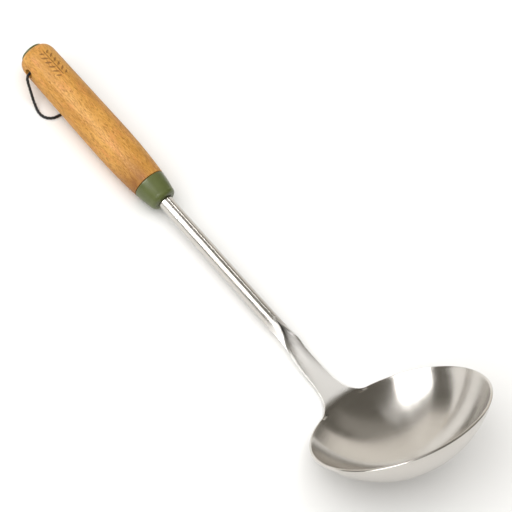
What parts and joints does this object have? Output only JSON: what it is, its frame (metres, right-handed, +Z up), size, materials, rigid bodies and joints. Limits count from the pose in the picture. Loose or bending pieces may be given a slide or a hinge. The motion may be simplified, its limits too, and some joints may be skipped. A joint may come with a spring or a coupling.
{
  "type": "soup ladle",
  "caption": "Soup ladle: round steel bowl and rolled steel stem in one pressing, plastic ferrule, turned wood grip with an end cap, and a cord loop to hang it by.",
  "frame": {"origin": "middle of the bounding box of the ladle without its cord, on the surface it lies on", "axes": "+X from the grip to the bowl, along the surface; +Z up; the XZ plane is the ladle's plane of symmetry"},
  "size_m": [0.2994, 0.0878, 0.0653],
  "materials": {
    "steel": "fine satin brushing, rim edge polished",
    "olive_plastic": "semi-gloss",
    "wood": "satin lacquer over open grain",
    "glue": "set resin",
    "cord": "twisted waxed cord"
  },
  "bodies": {
    "ladle": {"ladle_blank": "steel", "ferrule": "olive_plastic", "wood_grip": "wood", "butt_cap": "olive_plastic", "tang_glue": "glue"},
    "loop": {"hanging_cord": "cord", "cord_knot": "cord"}
  },
  "joints": [
    {"name": "loop_swing", "type": "hinge", "parent": "ladle", "child": "loop", "pos_m": [-0.13917, 0, 0.01249], "axis": [0, 1, 0], "range_deg": [0, 305]}
  ]
}
